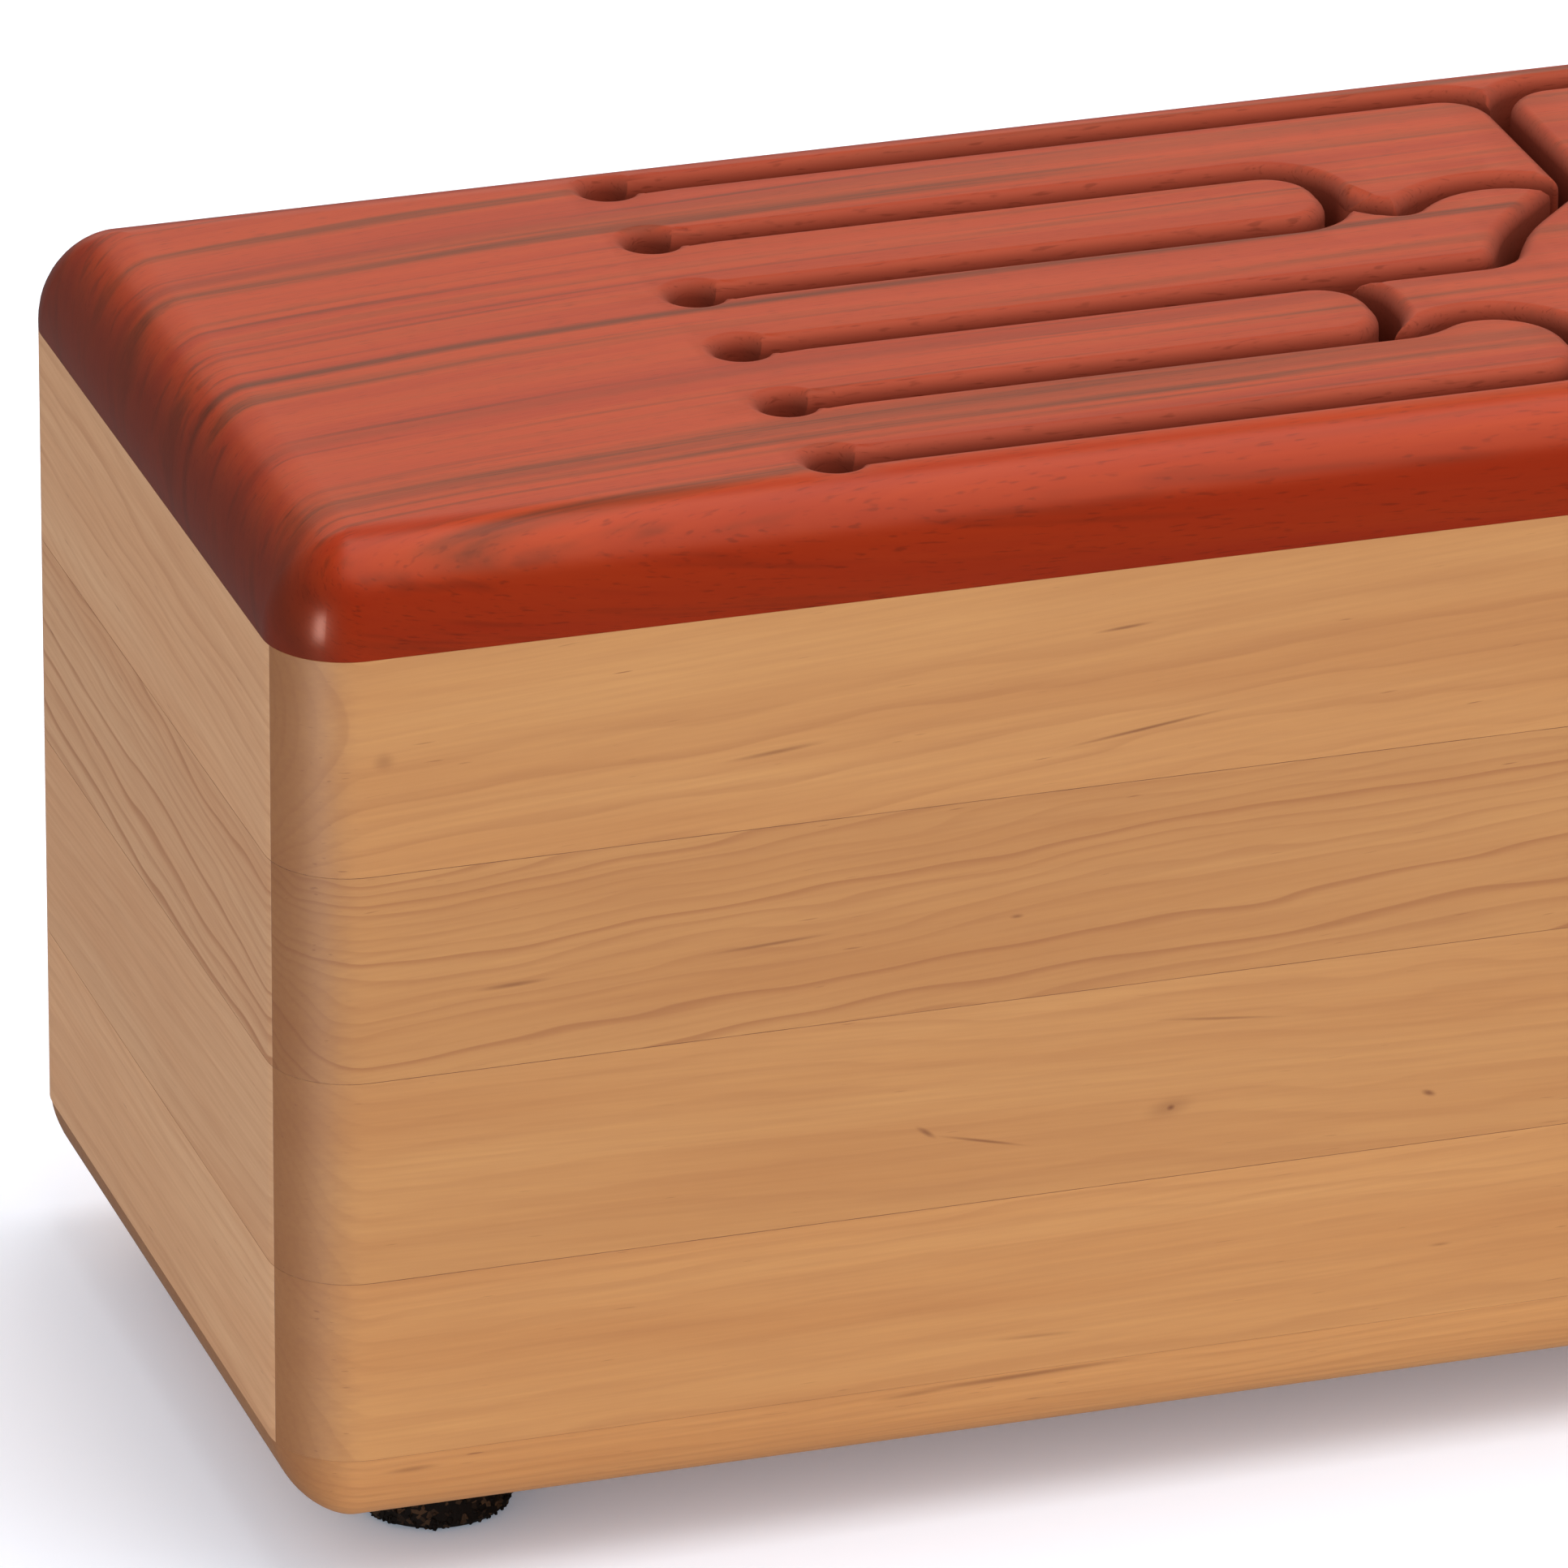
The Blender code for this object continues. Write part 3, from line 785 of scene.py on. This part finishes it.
def alderMaterial(name, side, board):
    v = alderValues
    material, tree, shader, coordinates = newMaterial(name)
    place = addNode(tree, "ShaderNodeSeparateXYZ", {0: coordinates.outputs["Object"]})
    x, y, z = place.outputs
    lengthwise = side in ("front", "back", "bottom")
    along, inward = (x, y) if lengthwise else (y, x)
    sign = 1.0 if side in ("front", "left", "bottom") else -1.0
    links = {0: inward, 1: sign, 2: halfWidth if lengthwise else halfLength}
    depth = addNode(tree, "ShaderNodeMath", links, operation="MULTIPLY_ADD")  # from the outer face
    local = addNode(tree, "ShaderNodeCombineXYZ", {0: along, 1: depth, 2: z})
    leant = addNode(tree, "ShaderNodeMath", {0: along, 1: -board["slope"], 2: z}, operation="MULTIPLY_ADD")
    leant = addNode(tree, "ShaderNodeCombineXYZ", {0: along, 1: depth, 2: leant})

    # slow patches of tone, fibres and short flecks, all drawn out along the board
    patterns = {}
    for pattern, (shift, scale, detail) in v["patterns"].items():
        source = leant if pattern in ("fibre", "fleck") else local
        links = {0: source, 1: (board["seed"] * shift, 0.0, 0.0), 3: scale}
        placed = addNode(tree, "ShaderNodeMapping", links)
        links = {"Vector": placed, "Scale": 1.0, "Detail": detail}
        patterns[pattern] = addNode(tree, "ShaderNodeTexNoise", links)
    fibre = patterns["fibre"]

    # growth rings round the heart of the tree, which lies behind the board
    wander = addNode(tree, "ShaderNodeMath", {0: patterns.pop("wander"), 1: 0.5}, operation="SUBTRACT")
    height = addNode(tree, "ShaderNodeMath", {0: z, 1: board["heartHeight"]}, operation="SUBTRACT")
    for distance, share in ((along, -board["slope"]), (wander, v["ringWander"])):
        height = addNode(tree, "ShaderNodeMath", {0: distance, 1: share, 2: height}, operation="MULTIPLY_ADD")
    behind = addNode(tree, "ShaderNodeMath", {0: depth, 1: board["heartDepth"]}, operation="SUBTRACT")
    spoke = addNode(tree, "ShaderNodeCombineXYZ", {0: height, 1: behind})
    radius = addNode(tree, "ShaderNodeVectorMath", {0: spoke}, operation="LENGTH").outputs["Value"]
    rings = addNode(tree, "ShaderNodeMath", {0: radius, 1: v["ringWidth"]}, operation="DIVIDE")
    phase = addNode(tree, "ShaderNodeMath", {0: rings}, operation="FRACT")
    facing = addNode(tree, "ShaderNodeSeparateXYZ", {0: coordinates.outputs["Normal"]})
    endFacing = facing.outputs[0] if lengthwise else facing.outputs[1]
    patterns["endwise"] = addNode(tree, "ShaderNodeMath", {0: endFacing}, operation="ABSOLUTE")
    shares = {}
    for effect, pattern in {"line": phase, "gone": phase, **patterns}.items():
        low, high, atLow, atHigh, kind = v["ranges"][effect]
        links = {0: pattern, 1: low, 2: high, 3: atLow, 4: atHigh}
        shares[effect] = addNode(tree, "ShaderNodeMapRange", links, interpolation_type=kind)
    whole = addNode(tree, "ShaderNodeMath", {0: rings}, operation="FLOOR")
    strength = addNode(tree, "ShaderNodeTexWhiteNoise", {"W": whole}, noise_dimensions="1D").outputs["Value"]
    strength = addNode(tree, "ShaderNodeMapRange", {0: strength, 3: v["faintestRing"], 4: board["rings"]})
    line = addNode(tree, "ShaderNodeMath", {0: shares["line"], 1: shares["gone"]}, operation="MULTIPLY")
    line = addNode(tree, "ShaderNodeMath", {0: line, 1: strength}, operation="MULTIPLY")

    marks = shares["fleck"]
    for mark in board["marks"]:
        marks = addMark(tree, local, marks, mark)
    # the end boards take the paler, greyer colours, which hold a painted haze of reflected light
    family = "front" if lengthwise else "left"
    pale, warm = (Vector(linear(v[k][family])) * board["tone"] for k in ("paleHex", "warmHex"))
    layers = (
        (shares["patch"], (*warm[:3], 1.0)),
        (line, linear(v["ringHex"])),
        (shares["fibre"], linear(v["ringHex"])),
        (shares["endwise"], linear(v["endHex"])),
        (marks, linear(v["fleckHex"])),
    )
    tone = (*pale[:3], 1.0)
    for share, colour in layers:
        links = {0: share, 6: tone, 7: colour}
        tone = addNode(tree, "ShaderNodeMix", links, data_type="RGBA").outputs[2]
    tree.links.new(tone, shader.inputs["Base Color"])
    smoothest, roughest = v["roughness"]
    rough = addNode(tree, "ShaderNodeMapRange", {0: fibre, 3: smoothest, 4: roughest})
    tree.links.new(rough.outputs[0], shader.inputs["Roughness"])
    links = {"Strength": v["bump"], "Distance": v["bumpHeight"], "Height": fibre}
    bump = addNode(tree, "ShaderNodeBump", links)
    tree.links.new(bump.outputs[0], shader.inputs["Normal"])
    return material


# the box: four glued boards on each side, standing on the bottom panel

wallMarks = {  # on the front: along, up, half length, half width, lean in degrees, strength
    1: (
        (-267.0, 168.0, 2.8, 2.4, 0.0, 0.35),
        (-193.0, 160.5, 12.0, 0.7, 5.0, 0.55),
        (-122.5, 156.0, 20.0, 0.5, 7.0, 0.75),
        (-127.0, 176.5, 7.5, 0.5, 4.0, 0.7),
    ),
    2: (
        (-194.0, 122.5, 15.0, 0.5, 2.5, 0.6),
        (-243.0, 121.0, 9.0, 0.7, 2.0, 0.6),
        (-147.0, 121.7, 1.8, 0.6, 0.0, 0.6),
    ),
    3: (
        (-164.0, 80.5, 3.0, 0.8, -35.0, 0.7),
        (-153.0, 77.3, 11.0, 0.45, -14.0, 0.7),
        (-117.0, 79.0, 6.5, 2.6, 10.0, 0.35),
        (-116.6, 79.0, 1.6, 1.1, 10.0, 0.9),
        (-66.0, 75.0, 2.0, 0.9, -20.0, 0.8),
        (-107.0, 95.8, 16.0, 0.45, -6.0, 0.5),
    ),
    4: ((-63.0, 43.5, 3.0, 0.5, 0.0, 0.4), (-142.0, 36.0, 12.0, 0.6, -2.0, 0.35)),
}
boardValues = [  # from the top down; the heart of the tree is placed from the board's middle
    # tone is partly each board's own shade and partly painted light: the lowest board is made lighter to
    # stand in for light bounced up from the floor
    {"slope": 0.060, "heartDepth": 34 * mm, "heartAbove": 26 * mm, "rings": 0.30, "tone": 1.00},
    {"slope": 0.060, "heartDepth": 34 * mm, "heartAbove": -34 * mm, "rings": 0.72, "tone": 0.94},
    {"slope": -0.030, "heartDepth": 70 * mm, "heartAbove": -45 * mm, "rings": 0.22, "tone": 0.98},
    {"slope": 0.015, "heartDepth": 60 * mm, "heartAbove": -30 * mm, "rings": 0.24, "tone": 1.05},
]


def longBoardOutline():
    radius, wall = bodyValues["cornerRadius"], bodyValues["wall"]
    skew = math.asin((radius - wall) / radius)
    left = arc((-halfLength + radius, -halfWidth + radius), radius, math.pi + skew, 1.5 * math.pi)
    return left + mirrored(left)


def endBoardOutline():
    radius, wall = bodyValues["cornerRadius"], bodyValues["wall"]
    skew = math.asin((radius - wall) / radius)
    front = arc((-halfLength + radius, -halfWidth + radius), radius, math.pi, math.pi + skew)
    back = [Vector((p.x, -p.y)) for p in reversed(front)]
    inner = -halfLength + wall
    return front + [Vector((inner, front[-1].y)), Vector((inner, -front[-1].y))] + back


def stackedMesh(name, rings, material):  # a closed mesh through rings of points, from the bottom up
    bm = bmesh.new()
    rings = [[bm.verts.new(p) for p in ring] for ring in rings]
    for lower, upper in zip(rings, rings[1:]):
        for i in range(len(lower)):
            bm.faces.new((lower[i - 1], lower[i], upper[i], upper[i - 1]))
    bm.faces.new(reversed(rings[0]))
    bm.faces.new(rings[-1])
    bmesh.ops.remove_doubles(bm, verts=bm.verts, dist=sameSpot)
    bmesh.ops.dissolve_degenerate(bm, edges=bm.edges, dist=sameSpot / 2)
    mesh = bpy.data.meshes.new(name)
    bm.to_mesh(mesh)
    bm.free()
    if material:
        mesh.materials.append(material)
        mesh.shade_smooth()
        mesh.set_sharp_from_angle(angle=bodyValues["sharpAngle"])
    return addObject(name, mesh)


def makeBoard(name, outline, low, high, material, node):
    board = stackedMesh(name, [[(p.x, p.y, z) for p in outline] for z in (low, high)], material)
    edge = board.modifiers.new("edge break", "BEVEL")
    edge.width = bodyValues["edgeBreak"]
    edge.segments = 1
    edge.limit_method = "ANGLE"
    edge.angle_limit = bodyValues["breakAngle"]
    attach(board, "box")
    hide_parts(node)


def makeWalls():
    longPlan, endPlan = longBoardOutline(), endBoardOutline()
    plans = {
        "front": ("front_board", longPlan),
        "back": ("back_board", [Vector((-p.x, -p.y)) for p in longPlan]),
        "left": ("left_end_board", endPlan),
        "right": ("right_end_board", mirrored(endPlan)),
    }
    for s, (side, (node, plan)) in enumerate(plans.items()):
        for number, values in enumerate(boardValues, 1):
            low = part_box(f"{node}_{number}")[0].z
            high = plateLow.z if number == 1 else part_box(f"{node}_{number - 1}")[0].z
            board = dict(values)
            board["seed"] = 10.0 * s + number
            board["heartHeight"] = (low + high) / 2 + values["heartAbove"]
            board["marks"] = wallMarks[number] if side == "front" else ()
            material = alderMaterial(f"oiled_alder_{side}_{number}", side, board)
            makeBoard(f"alder_{side}_{number}", plan, low, high, material, f"{node}_{number}")


bottomValues = {
    "slope": 0.01,
    "heartDepth": 60 * mm,
    "heartHeight": -30 * mm,
    "rings": 0.25,
    "seed": 51.0,
    # painted light: the bottom panel's colour is raised to stand in for light bounced up from the floor
    "tone": 1.13,
    "marks": (
        (-145.0, 28.0, 30.0, 0.9, 1.0, 0.6),
        (-165.0, 27.2, 12.0, 0.9, 3.0, 0.4),
        (-262.0, 25.8, 7.0, 1.0, 1.0, 0.45),
    ),
}


def makeBottom():
    low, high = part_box("bottom_panel")
    high.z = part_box("front_board_4")[0].z
    radius, count = bodyValues["bottomRound"], bodyValues["bottomSteps"]
    start = math.asin(1 - (high.z - low.z) / radius)
    levels = [(low.z, radius + bodyValues["bottomInset"])]
    for i in range(count + 1):
        angle = math.pi / 2 + (start - math.pi / 2) * i / count
        levels.append((low.z + radius * (1 - math.sin(angle)), radius * (1 - math.cos(angle))))
    levels[-1] = (high.z, levels[-1][1])
    rings = [[(p.x, p.y, z) for p in roundedRectangle(inset)] for z, inset in levels]
    material = alderMaterial("oiled_alder_bottom", "bottom", bottomValues)
    panel = stackedMesh("alder_bottom", rings, material)
    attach(panel, "box")
    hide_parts("bottom_panel")


def toPlainMesh(name, source):  # the evaluated object as a mesh object of its own, without modifiers
    evaluated = source.evaluated_get(bpy.context.evaluated_depsgraph_get())
    mesh = bpy.data.meshes.new_from_object(evaluated)
    mesh.name = name
    bpy.data.objects.remove(source)
    return addObject(name, mesh)


def addTree(source, tree, values):  # a Geometry Nodes modifier with its inputs set by identifier
    modifier = source.modifiers.new(tree.name, "NODES")
    modifier.node_group = tree
    for item in tree.interface.items_tree:
        if item.in_out == "INPUT" and item.name in values:
            modifier[item.identifier] = values[item.name]


def newGeometryTree(name, inputs):
    tree = bpy.data.node_groups.new(name, "GeometryNodeTree")
    tree.interface.new_socket("Geometry", in_out="INPUT", socket_type="NodeSocketGeometry")
    tree.interface.new_socket("Geometry", in_out="OUTPUT", socket_type="NodeSocketGeometry")
    for label, kind in inputs.items():
        tree.interface.new_socket(label, in_out="INPUT", socket_type=kind)
    return tree, tree.nodes.new("NodeGroupInput"), tree.nodes.new("NodeGroupOutput")


# glue lines: a thread of dried wood glue in each seam, level with the faces; it is darker and duller than
# the wood, so the eye sees thin joints

glueValues = {
    "threadRadius": 0.10 * mm,
    "sides": 6,
    "sink": 0.10 * mm,
    "bottomSink": 0.25 * mm,  # the bottom seam lies where the panel is already rounding
    "endGap": 0.3 * mm,
    "paleHex": "#A06C3E",
    "darkHex": "#80502C",
    "patchScale": 90.0,
    "patchRange": (0.35, 0.65),
    "roughness": 0.6,
}


def glueMaterial():
    v = glueValues
    material, tree, shader, coordinates = newMaterial("dried_wood_glue")
    links = {"Vector": coordinates.outputs["Object"], "Scale": v["patchScale"], "Detail": 2.0}
    patch = addNode(tree, "ShaderNodeTexNoise", links)
    low, high = v["patchRange"]
    share = addNode(tree, "ShaderNodeMapRange", {0: patch, 1: low, 2: high})
    links = {0: share, 6: linear(v["paleHex"]), 7: linear(v["darkHex"])}
    tone = addNode(tree, "ShaderNodeMix", links, data_type="RGBA")
    tree.links.new(tone.outputs[2], shader.inputs["Base Color"])
    shader.inputs["Roughness"].default_value = v["roughness"]
    return material


def makeGlueLines():
    material = glueMaterial()
    tree, given, result = newGeometryTree("glue thread", {"Thread Radius": "NodeSocketFloat"})
    curve = addNode(tree, "GeometryNodeMeshToCurve", {0: given.outputs["Geometry"]})
    links = {"Resolution": glueValues["sides"], "Radius": given.outputs["Thread Radius"]}
    section = addNode(tree, "GeometryNodeCurvePrimitiveCircle", links).outputs["Curve"]
    thread = addNode(tree, "GeometryNodeCurveToMesh", {0: curve, 1: section, "Fill Caps": True})
    real = addNode(tree, "GeometryNodeRealizeInstances", {0: thread})
    painted = addNode(tree, "GeometryNodeSetMaterial", {0: real, "Material": material})
    tree.links.new(painted.outputs[0], result.inputs[0])

    sink, gap = glueValues["sink"], glueValues["endGap"]
    points, edges = [], []
    seams = [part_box(f"front_board_{number}")[0].z for number in range(1, len(boardValues) + 1)]
    for z in seams:
        ring = withoutDoubles(roundedRectangle(sink if z > seams[-1] else glueValues["bottomSink"]))
        first = len(points)
        points += [(p.x, p.y, z) for p in ring]
        edges += [(first + i, first + (i + 1) % len(ring)) for i in range(len(ring))]
    outline = endBoardOutline()
    joint = outline[len(outline) // 2 - 2]  # where an end board's outer face meets the long wall
    for sx in (-1, 1):
        for sy in (-1, 1):
            x, y = sx * (abs(joint.x) - sink), sy * abs(joint.y)
            points += [(x, y, seams[-1] + gap), (x, y, plateLow.z - gap)]
            edges.append((len(points) - 2, len(points) - 1))
    mesh = bpy.data.meshes.new("glue paths")
    mesh.from_pydata(points, edges, [])
    source = addObject("glue paths", mesh)
    addTree(source, tree, {"Thread Radius": glueValues["threadRadius"]})
    lines = toPlainMesh("glue_lines", source)
    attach(lines, "box")


# feet: round pads punched from a sheet of pressed rubber crumbs, dull and near black with a few brown
# grains, so the eye sees a rough, soft edge

footValues = {
    "grain": 0.62 * mm,
    "grainsOut": 0.8,  # how far the grains stand out, in grain radii
    "grainsPerSquareMetre": 420000.0,
    "smallest": (0.5, 0.5, 0.35),
    "largest": (1.2, 1.2, 0.8),
    "sides": 64,
    "lowerBevel": (0.9 * mm, 1.5 * mm),  # inwards, and up from the floor
    "upperBevel": (0.3 * mm, 0.5 * mm),
    "rubberHex": "#160D07",
    "grainHex": "#4A3422",
    "grainSpacing": 1.1 * mm,
    "paleRange": (0.80, 0.98),
    "roughness": 0.8,
    "gloss": 0.1,
    "bump": 0.5,
    "bumpHeight": 0.3 * mm,
}


def rubberMaterial():
    v = footValues
    material, tree, shader, coordinates = newMaterial("pressed_crumb_rubber")
    links = {"Vector": coordinates.outputs["Object"], "Scale": 1 / v["grainSpacing"]}
    crumbs = addNode(tree, "ShaderNodeTexVoronoi", links)
    pick = addNode(tree, "ShaderNodeSeparateColor", {0: crumbs.outputs["Color"]})
    low, high = v["paleRange"]
    share = addNode(tree, "ShaderNodeMapRange", {0: pick, 1: low, 2: high})
    links = {0: share, 6: linear(v["rubberHex"]), 7: linear(v["grainHex"])}
    tone = addNode(tree, "ShaderNodeMix", links, data_type="RGBA")
    tree.links.new(tone.outputs[2], shader.inputs["Base Color"])
    shader.inputs["Roughness"].default_value = v["roughness"]
    shader.inputs["Specular IOR Level"].default_value = v["gloss"]
    links = {"Strength": v["bump"], "Distance": v["bumpHeight"], "Height": crumbs.outputs["Distance"]}
    bump = addNode(tree, "ShaderNodeBump", links, invert=True)
    tree.links.new(bump.outputs[0], shader.inputs["Normal"])
    return material


def crumbTree(material):
    v = footValues
    inputs = {"Grain Radius": "NodeSocketFloat", "Density": "NodeSocketFloat", "Seed": "NodeSocketInt"}
    tree, given, result = newGeometryTree("rubber crumbs", inputs)
    pad, size, density, seed = given.outputs[:4]
    links = {0: pad, "Density": density, "Seed": seed}
    spots = addNode(tree, "GeometryNodeDistributePointsOnFaces", links)
    grain = addNode(tree, "GeometryNodeMeshIcoSphere", {"Radius": size, "Subdivisions": 1})
    links = {1: (math.tau, math.tau, math.tau), "Seed": seed}
    turn = addNode(tree, "FunctionNodeRandomValue", links, data_type="FLOAT_VECTOR")
    links = {0: v["smallest"], 1: v["largest"], "Seed": seed}
    scale = addNode(tree, "FunctionNodeRandomValue", links, data_type="FLOAT_VECTOR")
    links = {0: spots, "Instance": grain, "Rotation": turn, "Scale": scale}
    crumbs = addNode(tree, "GeometryNodeInstanceOnPoints", links)
    joined = addNode(tree, "GeometryNodeJoinGeometry")
    tree.links.new(crumbs.outputs[0], joined.inputs[0])
    tree.links.new(pad, joined.inputs[0])
    real = addNode(tree, "GeometryNodeRealizeInstances", {0: joined})
    painted = addNode(tree, "GeometryNodeSetMaterial", {0: real, "Material": material})
    tree.links.new(painted.outputs[0], result.inputs[0])
    return tree


def makeFoot(name, node, tree, seed):
    v = footValues
    low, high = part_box(node)
    centre = (low + high) / 2
    out = v["grain"] * v["grainsOut"]
    radius = (high.x - low.x) / 2 - out
    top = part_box("bottom_panel")[0].z
    (inLow, upLow), (inHigh, downHigh) = v["lowerBevel"], v["upperBevel"]
    profile = [(low.z + out, radius - inLow), (low.z + upLow, radius)]
    profile += [(top - downHigh, radius), (top, radius - inHigh)]
    turns = [math.tau * i / v["sides"] for i in range(v["sides"])]
    rings = [[(centre.x + r * math.cos(a), centre.y + r * math.sin(a), z) for a in turns] for z, r in profile]
    source = stackedMesh(name + " blank", rings, None)
    addTree(source, tree, {"Grain Radius": v["grain"], "Density": v["grainsPerSquareMetre"], "Seed": seed})
    pad = toPlainMesh(name, source)
    for vertex in pad.data.vertices:
        vertex.co.z = min(max(vertex.co.z, low.z), top)
    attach(pad, "box")
    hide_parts(node)


padauk = padaukMaterial(padaukValues)
makePlate(padauk)
print("plate made")
for number in range(1, len(slitY)):
    for side in ("left", "right"):
        makeTongue(number, side, padauk)
print("tongues made")
makeWalls()
makeBottom()
makeGlueLines()
print("box made")
crumbs = crumbTree(rubberMaterial())
for seed, corner in enumerate(("front_left", "front_right", "back_left", "back_right")):
    makeFoot(f"rubber_pad_{corner}", f"foot_{corner}", crumbs, seed)
print("feet made")
